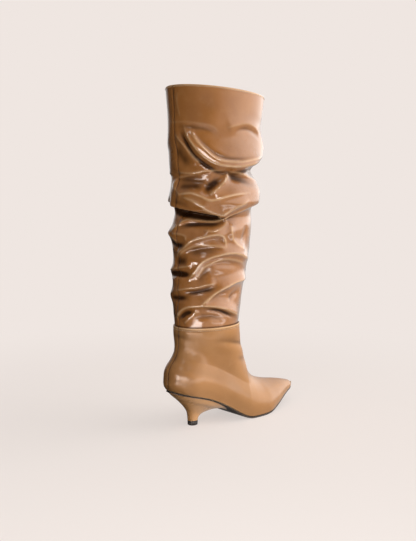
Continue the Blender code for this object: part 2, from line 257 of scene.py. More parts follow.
# A mesh from a grid of points (rows, columns, 3) that closes round its columns. It can close over its rows
# too, or have caps that join its first and last row across.
def surface(name, grid, finish, slot, replaces=None, closeOver=False, caps=False, merge=False, values=None):
    if caps:
        ends = [grid[k].mean(axis=0) + 0 * grid[k] for k in (0, -1)]
        grid = np.concatenate([ends[:1], grid, ends[1:]])
        merge = True
    faces = quads(*grid.shape[:2], closeOver)
    return addMesh(name, grid.reshape(-1, 3), faces, finish, slot, replaces, merge, values)


# Normals of a grid, from the steps to the neighbours round and up
def gridNormals(grid):
    roundStep = np.roll(grid, -1, axis=1) - np.roll(grid, 1, axis=1)
    out = np.cross(roundStep, np.gradient(grid, axis=0))
    return out / np.maximum(np.linalg.norm(out, axis=2, keepdims=True), 1e-12)


# Sizes of the last, the ankle and the leg, which the solids have too
foot = {
    "length": 0.2655, "heelSet": 0.047, "ballWidth": 0.082, "seatWidth": 0.058, "heelHeight": 0.057,
    "toeSpring": 0.0195, "toeShift": 0.010, "toeRound": 0.012, "seatRound": 0.038,
    "sideSwell": 0.004, "swellRise": 0.05, "swellEnd": 0.08, "wall": 0.0018, "gap": 0.0003,
    "soleThickness": 0.0028, "seatThickness": 0.0013, "seatShare": 0.3, "arching": 0.62, "tongue": 1.2,
    "tongueRise": 2.6, "roundness": 2.2,
}
ankle = {"height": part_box("upper")[1][2], "length": 0.109, "width": 0.083, "centre": 0.0275,
         "lap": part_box("upper")[1][2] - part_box("shaft")[0][2]}
leg = {"height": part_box("shaft")[1][2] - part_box("upper")[1][2], "collarLength": 0.165, "collarWidth": 0.123,
       "collarCentre": 0.0450, "collarDrop": 0.013}
backY, toeY = -foot["heelSet"], foot["length"] - foot["heelSet"]
ground = foot["soleThickness"] + foot["gap"]
ankleBack, ankleFront = (ankle["centre"] + side * ankle["length"] / 2 for side in (-1, 1))
hemInset = foot["wall"] + foot["gap"]

# station along the foot, share of the heel's height, share of the toe spring
arch = ((0.00, 1.00, 0.00), (0.09, 0.87, 0.00), (0.16, 0.78, 0.00), (0.23, 0.665, 0.00), (0.29, 0.535, 0.00),
        (0.36, 0.35, 0.00), (0.42, 0.175, 0.00), (0.47, 0.05, 0.00), (0.515, 0.00, 0.00), (0.61, 0.00, 0.00),
        (0.68, 0.00, 0.10), (0.755, 0.00, 0.32), (0.85, 0.00, 0.64), (0.975, 0.00, 0.95), (1.00, 0.00, 1.00))
# station, outer and inner edge as shares of the ball's width
outline = ((0.00, 0.350, 0.350), (0.14, 0.356, 0.350), (0.30, 0.372, 0.305), (0.44, 0.430, 0.335),
           (0.56, 0.477, 0.420), (0.65, 0.455, 0.488), (0.74, 0.350, 0.498), (0.83, 0.212, 0.435),
           (0.91, 0.080, 0.341), (1.00, -0.055, 0.200))
# rings of the foot part: way of the back and its rise, way of the front and its rise, share of the ankle oval
rings = ((0.195, 0.000, 0.000, 0.000, 0.00), (0.030, 0.060, -0.012, 0.022, 0.00),
         (0.000, 0.120, 0.010, 0.048, 0.00), (0.040, 0.210, 0.060, 0.074, 0.00),
         (0.110, 0.300, 0.160, 0.108, 0.00), (0.290, 0.385, 0.316, 0.145, 0.00),
         (0.560, 0.465, 0.510, 0.186, 0.05), (0.800, 0.545, 0.690, 0.245, 0.14),
         (0.950, 0.625, 0.820, 0.335, 0.30), (1.010, 0.705, 0.905, 0.460, 0.52),
         (1.020, 0.785, 0.955, 0.610, 0.76), (1.005, 0.860, 0.985, 0.780, 0.94))
# rise up the leg, and how far its length, width and centre have gone from ankle to collar
legRows = ((0.00, 0.00, 0.00, 0.00), (0.13, 0.13, 0.17, 0.10), (0.27, 0.24, 0.29, 0.40),
           (0.38, 0.37, 0.42, 0.62), (0.53, 0.46, 0.52, 0.80), (0.67, 0.62, 0.66, 0.91),
           (0.84, 0.80, 0.82, 0.95), (1.00, 1.00, 1.00, 1.00))


# Share of the foot's length, from the heel's back to the toe
def station(y):
    return (y - backY) / foot["length"]


# Height of the foot's lower edge: the seat's share of the heel plus the toe spring
def footEdge(y):
    at = station(np.asarray(y, float))
    seat = (foot["heelHeight"] - ground) * tableAt(arch, at, 1)
    return ground + seat + foot["toeSpring"] * tableAt(arch, at, 2)


# From 0 to 1 over a length, nearly along a quarter oval
def rounded(distance, length):
    left = 1 - np.clip(distance / length, 0, 1)
    return np.sqrt(np.clip(1 - left ** foot["roundness"], 0, 1))


# The foot's middle line, which turns inward to the toe with the cube of the station
def middle(y):
    return -foot["toeShift"] * station(y) ** 3


# Outer and inner x of the foot's outline, drawn together at its back and at its toe
def sides(y, back, front, spread=0.0):
    at = station(y)
    ends = rounded(y - back, foot["seatRound"]) * rounded(front - y, foot["toeRound"])
    heel = 1 - np.clip(at / foot["seatShare"], 0, 1)
    centre, seat = middle(y), foot["seatWidth"] / 2
    outer, inner = (tableAt(outline, at, k) * foot["ballWidth"] * (1 - heel) + seat * heel for k in (1, 2))
    return centre + (outer + spread - centre) * ends, centre - (inner + spread + centre) * ends


# Back and front point (y, z) of a ring of the foot part
def ringEnds(row):
    seatZ, toeZ = foot["heelHeight"], float(footEdge(toeY))
    back = (backY + row[0] * (ankleBack - backY), seatZ + row[1] * (ankle["height"] - seatZ))
    front = (toeY + row[2] * (ankleFront - toeY), toeZ + row[3] * (ankle["height"] - toeZ))
    return back, front


# Height of the line over the toe and instep, carried on past the ankle
def ridgeLine(y):
    points = [ringEnds(row)[1] for row in reversed(rings) if row[2] > 0]
    ys = [ankleFront - foot["tongue"] * ankle["length"], ankleFront] + [p[0] for p in points] + [toeY]
    zs = [ankle["height"] + foot["tongueRise"] * ankle["length"], ankle["height"]] + [p[1] for p in points]
    return curve(y, ys, zs + [ringEnds(rings[1])[1][1]])


# One ring of the foot part: between its back and front point it rises with the foot's edge, and its
# half width is the outline's, arched over towards the ridge line, then blended into the ankle's oval
def upperRing(row, turns):
    (ringBack, backZ), (ringFront, frontZ) = ringEnds(row)
    oval, along = row[4], (1 - np.cos(turns)) / 2
    y = ringBack + (ringFront - ringBack) * along
    edge = footEdge(y)
    backLift, frontLift = backZ - float(footEdge(ringBack)), frontZ - float(footEdge(ringFront))
    follow = edge + backLift + (frontLift - backLift) * along
    z = follow * (1 - oval) + (backZ + (frontZ - backZ) * along) * oval
    high = np.clip((z - edge) / np.maximum(ridgeLine(y) - edge, foot["gap"]), 0, 1)
    bulge = np.sin(np.pi * np.clip((z - edge) / foot["swellRise"], 0, 1))
    swell = foot["sideSwell"] * bulge * rounded(ringFront - y, foot["swellEnd"])
    outer, inner = sides(y, ringBack, max(ringFront, toeY), swell)
    centre = middle(y)
    edgeX = np.where(np.sin(turns) >= 0, outer, inner)
    lens = centre + (edgeX - centre) * (1 - high ** 2) ** foot["arching"]
    return np.stack([lens * (1 - oval) + ankle["width"] / 2 * np.sin(turns) * oval, y, z], axis=1)


# A level oval ring: the ankle's, drawn in by an inset
def insetRing(z, turns, inset):
    x = (ankle["width"] / 2 - inset) * np.sin(turns)
    y = ankle["centre"] - (ankle["length"] / 2 - inset) * np.cos(turns)
    return np.stack([x, y, z + 0 * turns], axis=1)


# Folds that give the leg its main form, on both sides: degrees from the back seam over the outer side and
# their reach, then level, slope, bend, softness above and below as shares of the leg, and how far out
broadFolds = (
    (106, 66, 0.700, 0.10, 0.110, 0.085, 0.034, 1.00), (92, 50, 0.648, 0.05, 0.050, 0.024, 0.026, -0.50),
    (142, 40, 0.664, 0.02, 0.020, 0.034, 0.036, -0.66), (150, 40, 0.860, 0.00, 0.000, 0.040, 0.050, -0.30),
    (128, 34, 0.587, 0.00, 0.000, 0.034, 0.034, 0.42),
    (22, 42, 0.610, -0.05, 0.000, 0.024, 0.024, -0.60), (-10, 50, 0.800, 0.00, 0.000, 0.060, 0.050, 0.30),
    (78, 98, 0.528, 0.02, 0.020, 0.066, 0.024, 1.05), (48, 62, 0.462, 0.00, 0.010, 0.024, 0.024, -0.85),
    (42, 52, 0.378, 0.06, -0.010, 0.030, 0.024, 0.60), (-18, 34, 0.395, 0.00, 0.000, 0.028, 0.028, 0.62),
    (80, 52, 0.315, 0.00, -0.110, 0.032, 0.024, 0.60), (-20, 36, 0.225, 0.00, 0.000, 0.024, 0.024, 0.35),
    (96, 60, 0.185, 0.04, -0.020, 0.030, 0.022, 0.45), (48, 58, 0.095, 0.00, -0.060, 0.028, 0.022, 0.34),
    (238, 76, 0.720, 0.00, 0.050, 0.065, 0.028, 0.75), (205, 60, 0.610, 0.00, 0.040, 0.024, 0.024, -0.50),
    (245, 78, 0.500, 0.03, 0.030, 0.050, 0.026, 0.85), (232, 60, 0.440, 0.02, 0.020, 0.024, 0.024, -0.60),
    (215, 62, 0.345, 0.00, -0.050, 0.032, 0.024, 0.60), (240, 66, 0.225, 0.03, -0.040, 0.030, 0.024, 0.50),
    (228, 60, 0.110, 0.00, -0.030, 0.028, 0.022, 0.34),
)

# Creases, all in mm: how far out (less than 0: a trough), how far the lip hangs, softness above
# and below, then points as (degrees from the back seam over the outer side, height over the ankle seam)
creases = (
    # the collar band, hardly dented
    (0.9, 0, 5, 5, ((8, 338), (8, 320), (12, 303))),
    (-0.5, 0, 9, 9, ((40, 340), (46, 324), (54, 306))),
    # the pouch under it, with its rolled edge and the steep valley under that
    (6.0, 0.4, 6, 4.6, ((16, 294), (24, 276), (30, 265), (38, 254), (47, 245), (57, 239), (74, 236),
                        (90, 238), (106, 243), (124, 249))),
    (-4.0, 0, 3.5, 3.5, ((6, 292), (15, 275), (26, 253), (36, 242), (48, 233), (62, 227), (80, 226))),
    (-2.0, 0, 5, 4, ((66, 226), (90, 230), (112, 234), (150, 243))),
    (-1.3, 0, 4, 4, ((28, 294), (36, 274), (46, 261), (57, 252), (69, 247), (80, 247), (95, 249),
                      (125, 256))),
    (2.5, 0, 3, 2.4, ((24, 290), (36, 268), (46, 257), (56, 247), (68, 243), (86, 244), (106, 250),
                      (136, 258))),
    (2.4, 0, 5, 3.5, ((2, 280), (16, 263), (26, 250), (38, 237))),
    (-2.4, 0, 9, 9, ((0, 268), (5, 252), (14, 242), (28, 234))),
    (0.7, 0, 9, 4, ((-10, 297), (2, 296), (24, 296), (41, 294), (54, 291), (62, 283))),
    (-1.3, 0, 5, 4, ((0, 290), (20, 289), (42, 287), (62, 280))),
    (1.4, 0, 7, 5, ((70, 291), (82, 296), (97, 301), (115, 298), (129, 289))),
    (-1.4, 0, 4, 4, ((76, 285), (94, 293), (111, 290), (130, 278))),
    (-5.0, 0, 8, 8, ((104, 231), (126, 234), (146, 236), (170, 238), (198, 240))),
    # thin ridges, hollows and the knot over the big lip
    (2.4, 1.0, 4, 2.4, ((-4, 225), (22, 224), (40, 227), (52, 229), (70, 231))),
    (1.8, 0.5, 3, 2, ((-4, 217), (12, 219), (26, 222), (40, 224))),
    (-1.5, 0, 7, 6, ((-8, 212), (14, 213), (36, 213), (56, 210))),
    (-3.3, 0, 6, 6, ((68, 219), (56, 211), (48, 202), (44, 190))),
    (3.0, 0, 3.5, 3.5, ((74, 226), (69, 214), (59, 202), (50, 193))),
    (2.4, 1.0, 5, 3, ((72, 229), (93, 228), (114, 224), (144, 218))),
    (-2.8, 0, 6, 6, ((70, 223), (84, 219), (102, 216), (140, 210))),
    (2.0, 0, 4, 4, ((-4, 216), (-7, 206), (4, 196), (12, 193))),
    (-2.4, 0, 5, 5, ((-6, 205), (12, 204), (30, 204), (46, 200))),
    (3.4, 1.0, 6, 4.2, ((4, 192), (16, 195), (28, 196), (40, 192), (50, 187), (60, 189), (70, 193), (84, 197),
                      (106, 200))),
    (3.2, 1.0, 5, 4, ((10, 191), (28, 187), (40, 181), (47, 176), (58, 172), (71, 171), (88, 181),
                      (102, 190))),
    (-1.8, 0, 4, 4, ((-16, 187), (8, 183), (36, 176))),
    # the big lip and the black hollow under it
    (6.0, 6.0, 9, 2.4, ((-32, 183), (0, 178), (28, 174), (47, 171), (62, 169), (69, 160))),
    (5.0, 2.0, 9, 2.6, ((69, 160), (78, 165), (91, 171), (108, 179), (143, 190))),
    (-13.0, 0, 9, 6, ((-44, 168), (-20, 168), (0, 167), (20, 165), (40, 163), (60, 162), (78, 161))),
    (3.0, 1.0, 3, 3, ((-17, 138), (0, 149), (12, 157), (26, 157), (42, 156), (58, 156), (69, 159),
                      (80, 166))),
    (-3.8, 0, 4, 5, ((-4, 143), (18, 149), (40, 151), (60, 152), (78, 156))),
    (1.8, 0, 4, 4, ((44, 143), (58, 142), (70, 149), (78, 159))),
    # the middle of the leg
    (2.2, 0, 3, 3, ((-30, 138), (-14, 131), (2, 124))),
    (2.0, 0, 3, 3, ((-12, 136), (6, 136), (18, 133), (20, 127))),
    (-3.6, 0, 4, 4, ((-40, 127), (-16, 121), (4, 119), (20, 124))),
    (3.2, 0.6, 6, 3.4, ((-6, 100), (1, 108), (18, 119), (30, 128), (44, 133), (59, 137), (69, 135), (74, 128),
                        (76, 116))),
    (2.2, 0.6, 4, 2.4, ((2, 104), (14, 112), (27, 118), (42, 121), (63, 121), (76, 117))),
    (-1.8, 0, 8, 7, ((18, 104), (34, 110), (54, 112), (76, 111))),
    (-2.4, 0, 7, 6, ((-12, 96), (4, 96), (28, 98))),
    (2.6, 0, 5, 5, ((82, 153), (82, 141), (87, 129), (98, 120), (114, 114))),
    (-1.8, 0, 5, 5, ((112, 152), (111, 138), (104, 122))),
    (3.4, 0.6, 6, 3.2, ((20, 68), (31, 79), (39, 90), (46, 98), (56, 104), (68, 108), (80, 110), (95, 109),
                        (116, 102), (140, 95))),
    (2.4, 0.4, 4, 2.6, ((33, 68), (42, 82), (48, 90), (58, 96), (70, 100), (84, 101), (104, 97), (124, 90))),
    (-1.5, 0, 6, 6, ((36, 64), (47, 80), (60, 92))),
    (2.6, 2.0, 5, 2.4, ((-32, 82), (-10, 86), (12, 90), (28, 92))),
    (-7.0, 0, 5, 4, ((-46, 75), (-22, 76), (-4, 77), (12, 77), (32, 79))),
    (2.6, 1.2, 5, 2.4, ((-10, 53), (17, 58), (36, 60), (51, 64), (68, 67))),
    (-2.8, 0, 5, 4, ((8, 50), (34, 52), (54, 56), (78, 62))),
    # low folds over the ankle seam
    (3.6, 1.2, 6, 3, ((44, 34), (58, 46), (70, 55), (84, 62), (105, 68), (142, 70))),
    (1.6, 0.4, 3, 2.2, ((52, 38), (66, 49), (80, 57), (94, 61))),
    (-3.2, 0, 5, 4, ((-42, 42), (-12, 42), (8, 43), (34, 45))),
    (-1.8, 0, 5, 5, ((92, 36), (102, 47), (122, 52))),
    (3.6, 1.6, 6, 3, ((-10, 10), (4, 21), (18, 30), (36, 34), (62, 34), (84, 29), (104, 21), (137, 8))),
    (-2.4, 0, 3, 3, ((44, 29), (70, 27), (92, 20), (130, 5))),
    (-3.0, 0, 4, 4, ((-4, 10), (10, 17), (22, 22), (40, 25))),
    (2.0, 0, 4, 4, ((14, 6), (28, 16), (42, 27))),
    (-1.6, 0, 5, 5, ((30, 15), (50, 17), (70, 16), (98, 8))),
    # the inner side and the front, which follow the broad folds there
    (3.6, 1.5, 7, 3.4, ((150, 256), (185, 262), (225, 252), (262, 262), (300, 286))),
    (2.4, 1.0, 4, 2.4, ((160, 213), (195, 224), (230, 221), (262, 230), (300, 227), (350, 222))),
    (-3.0, 0, 4, 4, ((170, 205), (200, 210), (235, 206), (270, 212), (310, 208))),
    (5.0, 2.6, 9, 3.6, ((148, 187), (190, 184), (228, 172), (262, 176), (305, 184), (325, 183))),
    (-5.0, 0, 5, 5, ((165, 170), (200, 163), (235, 154), (275, 162), (312, 170))),
    (2.6, 1.0, 4, 3, ((165, 150), (200, 145), (235, 149), (270, 146), (300, 141), (340, 140))),
    (3.0, 1.2, 6, 3.4, ((150, 118), (180, 110), (210, 119), (243, 125), (278, 112), (312, 108))),
    (2.6, 1.0, 5, 3.2, ((145, 84), (175, 74), (205, 84), (240, 90), (280, 80), (318, 82))),
    (-3.0, 0, 4, 4, ((160, 62), (200, 70), (240, 75), (280, 66), (318, 68))),
    (2.4, 0.8, 5, 3.2, ((160, 62), (195, 50), (235, 44), (270, 50), (315, 55))),
    (2.2, 0.8, 5, 3.2, ((160, 16), (205, 28), (245, 33), (285, 31), (318, 35))),
    (2.0, 0, 4, 3, ((240, 214), (252, 200), (246, 186))),
    (2.2, 0, 4, 3, ((205, 140), (214, 128), (208, 116))),
    (1.8, 0, 4, 3, ((268, 108), (258, 98), (262, 86))),
)
# soft bags between the creases: degrees and their reach, height and its reach in mm, out in mm
bags = ((-41, 26, 238, 20, 2.6), (-41, 26, 284, 16, -1.6), (58, 15, 86, 8, 2.2), (54, 14, 73, 6, 1.4),
        (62, 14, 147, 8, 1.6), (54, 16, 112, 6, 0.8),
        (-38, 30, 44, 9, 3.6), (-38, 30, 128, 10, 2.6), (-38, 24, 80, 7, 1.4), (148, 30, 176, 11, -3.5),
        (66, 30, 270, 17, -2.6), (30, 34, 100, 12, 1.8), (96, 34, 262, 16, 1.2), (60, 26, 120, 9, 1.2),
        (300, 36, 262, 18, 1.4), (262, 40, 140, 12, 1.4), (196, 36, 238, 12, 1.5), (84, 30, 84, 10, 1.4))
# Rows and columns, folds in mm, and noises as cells round the leg, cells up it and seed. The columns lie
# closer on the outer side, by crowd. A degree is degreeMm round the ankle and more towards the collar.
skin = {
    "columns": 288, "rows": 246, "innerRows": 62, "hemRows": 5, "edgeRows": 9, "crowd": 20, "pathStep": 1.3,
    "pathLeast": 12, "foldDepth": 8.36, "broadFrom": 0.05, "broadTo": 0.12, "broadSoft": 0.8, "fine": 1.15,
    "startMm": 6, "collarFade": 0.06, "band": 0.83, "bandFade": 0.05, "bandCalm": 0.8, "crumple": 0.08,
    "ridged": (26, 30, 5), "rumpled": (22, 24, 1), "creased": (44, 50, 2), "waves": (9, 3, 8),
    "waveDepth": 0.5, "wavesFrom": 0.8, "waveFade": 0.1, "seamDepth": 0.7, "seamWidth": 2.2,
    "degreeMm": 0.82, "degreeGain": 0.44, "gainHeight": 330, "rim": 1.3, "wall": 1.7, "turnIn": 12,
    "smoothFrom": 0.93, "smoothSteps": (5, 8), "valleyBlur": 10, "paintedShadeDepth": 2.6, "rimHighlightWidth": 2.8,
    "rimHighlightShare": 0.8, "edgeHighlightShare": 0.9, "frontShadeCut": 0.55, "frontStart": 90, "frontEnd": 335,
    "frontFade": 25, "ankleGapShadeAt": 0.8, "ankleGapShadeWidth": 1.6,
}
# What a crease does: how much of its path its ends fade over, how blunt a ridge's ends are, how its two sides
# fall off, and how thin the painted highlight line on its crest is
lay = {
    "ridgeEnds": 0.16, "blunt": 0.12, "troughEnds": 0.36, "above": 1.25, "below": 1.15, "steepAbove": 1.15,
    "steepBelow": 1.5, "hangBelow": 0.8, "fullShade": 5, "fullCrest": 3.5, "crestWidth": 1.25,
    "crestDown": 0.4,
}


# How far the creases push the leg out and how far they hang. The distance to a crease's path has a sign, its
# left side being above; the push falls off slowly above and fast below, and both fade to the path's ends.
# Troughs also add painted shade to the leather, and ridges a thin painted highlight along their crest.
def creaseMaps(turns, heights):
    out, hang, shade, crestHighlight = (np.zeros(turns.shape) for _ in range(4))
    mmPerDegree = skin["degreeMm"] + skin["degreeGain"] * np.clip(heights / skin["gainHeight"], 0, 1)
    for push, drop, above, below, points in creases:
        reach = np.hypot(*np.diff(np.asarray(points, float), axis=0).T).sum()
        line = path(points, int(reach / skin["pathStep"]) + skin["pathLeast"])
        degrees = turnsFrom(line[:, 0], turns[..., None])
        near = np.hypot(degrees * mmPerDegree[..., None], heights[..., None] - line[:, 1])
        k = near.argmin(axis=-1)
        lean = np.gradient(line, axis=0)[k]
        dx = np.take_along_axis(degrees, k[..., None], -1)[..., 0] * mmPerDegree
        dy = heights - line[k, 1]
        left = lean[..., 0] * mmPerDegree * dy - lean[..., 1] * dx >= 0
        away = near.min(axis=-1)
        share = k / (len(line) - 1)
        if push > 0:
            fade = fadeEnds(share, lay["ridgeEnds"], lay["blunt"])
            softness = np.where(left, lay["above"] * above, lay["below"] * below)
            side = np.exp(-(away / softness) ** np.where(left, lay["steepAbove"], lay["steepBelow"]))
            thin = (away - np.where(left, 0, lay["crestDown"])) / lay["crestWidth"]
            crestHighlight = np.maximum(crestHighlight, min(push / lay["fullCrest"], 1) * fade * np.exp(-thin ** 2))
        else:
            fade = fadeEnds(share, lay["troughEnds"])
            side = np.exp(-(away / np.where(left, above, below)) ** 2)
            shade += -push / lay["fullShade"] * side * fade
        out += push * side * fade
        hang += drop * fade * np.exp(-(away / np.where(left, above, lay["hangBelow"] * below)) ** 2)
    return out, hang, shade, crestHighlight


# Each broad fold is a bell across its line, which slopes and bends with the turn, and a bell along it; all
# fade out at the ankle and the collar
def broadMap(turns, levels):
    total = np.zeros(turns.shape)
    for turn, reach, height, slope, bend, above, below, push in broadFolds:
        away = turnsFrom(turn, turns)
        rise = levels - (height + slope * away / 90 + bend * (away / 90) ** 2)
        total += push * np.exp(-(rise / np.where(rise > 0, above, below)) ** 2 - (away / reach) ** 2)
    ends = np.clip(levels / skin["broadFrom"], 0, 1) * np.clip((1 - levels) / skin["broadTo"], 0, 1)
    return total * ends ** skin["broadSoft"]


# Each bag is a bell round the leg and up it
def bagMap(turns, heights):
    total = np.zeros(turns.shape)
    for turn, reach, height, tall, push in bags:
        away = turnsFrom(turn, turns)
        total += push * np.exp(-(away / reach) ** 2 - ((heights - height) / tall) ** 2)
    return total


# Each value becomes half itself and half the mean of its neighbours, first round (closed) and then up (the
# ends repeat)
def blurred(values, times=1):
    for _ in range(times):
        values = 0.5 * values + 0.25 * (np.roll(values, 1, axis=1) + np.roll(values, -1, axis=1))
        ends = np.pad(values, ((1, 1), (0, 0)), mode="edge")
        values = 0.5 * values + 0.25 * (ends[:-2] + ends[2:])
    return values


# Each value becomes the lowest of itself and its four neighbours
def lowest(values, times):
    for _ in range(times):
        ends = np.pad(values, ((1, 1), (0, 0)), mode="edge")
        values = np.minimum.reduce([values, np.roll(values, 1, axis=1), np.roll(values, -1, axis=1),
                                    ends[:-2], ends[2:]])
    return values


# A point of the leg: an oval whose length, width and centre go from ankle to collar, pushed out by the folds,
# lowered by the collar's slope and by what hangs
def legPoints(turns, levels, push, hang):
    t = np.radians(turns)
    ankleLength, ankleWidth = ankle["length"] - 2 * hemInset, ankle["width"] - 2 * hemInset
    rise = np.clip(levels, 0, 1)
    length = ankleLength + (leg["collarLength"] - ankleLength) * tableAt(legRows, rise, 1)
    width = ankleWidth + (leg["collarWidth"] - ankleWidth) * tableAt(legRows, rise, 2)
    centre = ankle["centre"] + (leg["collarCentre"] - ankle["centre"]) * tableAt(legRows, rise, 3)
    z = ankle["height"] + leg["height"] * levels - leg["collarDrop"] * rise * (1 - np.cos(t)) / 2
    x = (width / 2 + push * mm) * np.sin(t)
    return np.stack([x, centre - (length / 2 + push * mm) * np.cos(t), z - hang * mm], axis=-1)


# Turns of the columns: even steps less a cosine, which crowds them on the outer side
def skinTurns(count):
    u = np.arange(count) / count
    return 360 * u - skin["crowd"] * (1 - np.cos(2 * np.pi * u))


# Angles between the two ends of a half round
def halfRound(rows):
    return np.linspace(0, np.pi, rows)[1:-1]


# The leather of the leg as one wall: up the outside with its folds, over the folded collar edge, and down
# the inside, which follows the outside's lowest places smoothly
def makeShaft(finish):
    legMm = leg["height"] / mm
    top = 1 - skin["rim"] / legMm
    hem = -ankle["lap"] / leg["height"]
    levels = np.concatenate([np.linspace(hem, 0, skin["hemRows"])[:-1], np.linspace(0, top, skin["rows"])])
    turns = skinTurns(skin["columns"])
    turnGrid, levelGrid = np.meshgrid(turns, levels)
    heights = levelGrid * legMm
    out, hang, shade, crestHighlight = creaseMaps(turnGrid, heights)
    low = ease(heights / skin["startMm"])
    fine = (out + bagMap(turnGrid, heights)) * skin["fine"] * low * ease((1 - levelGrid) / skin["collarFade"])
    band = 1 - skin["bandCalm"] * ease((levelGrid - skin["band"]) / skin["bandFade"])
    ridged, rumpled, creased, waves = (softNoise(turnGrid / 360, levelGrid, *skin[name])
                                       for name in ("ridged", "rumpled", "creased", "waves"))
    crumple = rumpled + 0.5 * creased + 0.5 * (1 - np.abs(ridged) * 2)
    waves *= skin["waveDepth"] * ease((levelGrid - skin["wavesFrom"]) / skin["waveFade"])
    broad = skin["foldDepth"] * broadMap(turnGrid, levelGrid)
    push = blurred(broad + fine + skin["crumple"] * crumple * band * low + waves)
    seam = seamTurns(turnGrid) * (skin["degreeMm"] + skin["degreeGain"] * levelGrid)
    push -= skin["seamDepth"] * np.exp(-(seam / skin["seamWidth"]) ** 2)
    push = np.where(levelGrid <= 0, 0, push)
    outside = legPoints(turnGrid, levelGrid, push, blurred(hang) * low * band)

    # painted shade where the leather lies under its own mean and in the ankle's gap, less of it over the front;
    # painted highlight on the rim
    under = blurred(push, skin["valleyBlur"]) - push
    valleyShade = np.clip(under / skin["paintedShadeDepth"] + shade, 0, 1)
    valleyShade *= ease(heights / (2 * skin["startMm"]))
    # less painted shade from the outer side round the front to the inner side
    front = ease((turnGrid - skin["frontStart"]) / skin["frontFade"])
    front *= ease((skin["frontEnd"] - turnGrid) / skin["frontFade"])
    valleyShade *= 1 - skin["frontShadeCut"] * front
    # painted shade line in the gap at the ankle seam
    valleyShade = np.maximum(valleyShade, ease(1 - np.abs(heights - skin["ankleGapShadeAt"]) / skin["ankleGapShadeWidth"]))
    # painted highlight along the ridge crests and on the collar rim
    crestHighlight = np.maximum(crestHighlight * low, skin["rimHighlightShare"] * ease(heights - legMm + skin["rimHighlightWidth"]))

    # over the edge: a half round from the outside to the inside
    bow = halfRound(skin["edgeRows"])[:, None]
    edgeTurns = np.repeat(turns[None, :], len(bow), axis=0)
    lift = skin["rim"] * np.sin(bow) / legMm
    rimPush = push[-1] - skin["rim"] * (1 - np.cos(bow))
    edge = legPoints(edgeTurns, top + lift + 0 * edgeTurns, rimPush, 0)

    inLevels = np.linspace(top, hem, skin["innerRows"])
    inTurns, inGrid = np.meshgrid(turns, inLevels)
    lowSteps, blurSteps = skin["smoothSteps"]
    smooth = blurred(lowest(push, lowSteps), blurSteps)
    floorPush = np.where(levelGrid > skin["smoothFrom"], push, smooth)
    rowOf = np.abs(levels[None, :] - inLevels[:, None]).argmin(axis=1)
    wall = np.where((top - inGrid) * legMm < skin["turnIn"], 2 * skin["rim"], skin["wall"])
    inside = legPoints(inTurns, inGrid, floorPush[rowOf] - wall, 0)

    grid = np.concatenate([outside, edge, inside])
    zero = np.zeros(edgeTurns.shape)
    values = {
        "valleyShade": np.concatenate([valleyShade, zero, 0 * inTurns]),
        # painted highlight over the rolled collar edge
        "crestHighlight": np.concatenate([crestHighlight, zero + skin["edgeHighlightShare"], 0 * inTurns]),
        "seam": np.concatenate([seam, np.repeat(seam[-1:], len(bow) + len(inLevels), axis=0)]),
        "inner": np.concatenate([0 * heights, zero, (top - inGrid) * legMm]),
        "rise": np.concatenate([heights, zero + legMm, inGrid * legMm]),
    }
    surface("shaft_leather", grid, finish, "shaft_leather", "shaft", closeOver=True, values=values)
    return outside


# The foot part as one wall: rings from the lower edge up to a rounded rim at the ankle, then down inside
upperShape = {
    "columns": 176, "rows": 96, "lapRows": 8, "innerRows": 34, "edgeRows": 9, "rim": 0.9, "degreeMm": 0.8,
    "wrinkleEnds": 0.3, "wrinklePoints": 50, "soft": (14, 9, 21), "softDepth": 0.25, "softFrom": 0.25,
    "softTo": 0.1, "seamDepth": 0.5, "seamWidth": 1.8, "seamFrom": 0.1, "stitchLine": 4, "dent": 0.35,
    "dentWidth": 1.2, "edgeFade": 0.04, "paintedShadeDepth": 1.2, "rimHighlightWidth": 2.6, "edgeHighlightRows": 3,
}
footWrinkles = (  # out and softness in mm, then points (degrees, height over the ankle seam in mm)
    (-0.7, 5, ((62, -14), (90, -20), (120, -27), (150, -33), (180, -36), (215, -32), (250, -22))),
    (0.6, 6, ((55, -22), (85, -30), (115, -38), (150, -44), (180, -47), (215, -42), (255, -30))),
    (-0.5, 5, ((100, -50), (130, -53), (160, -56), (180, -57), (205, -54), (235, -48))),
    (-0.5, 4, ((-30, -16), (0, -13), (26, -16))),
    (0.4, 5, ((-26, -24), (2, -21), (24, -25))),
)


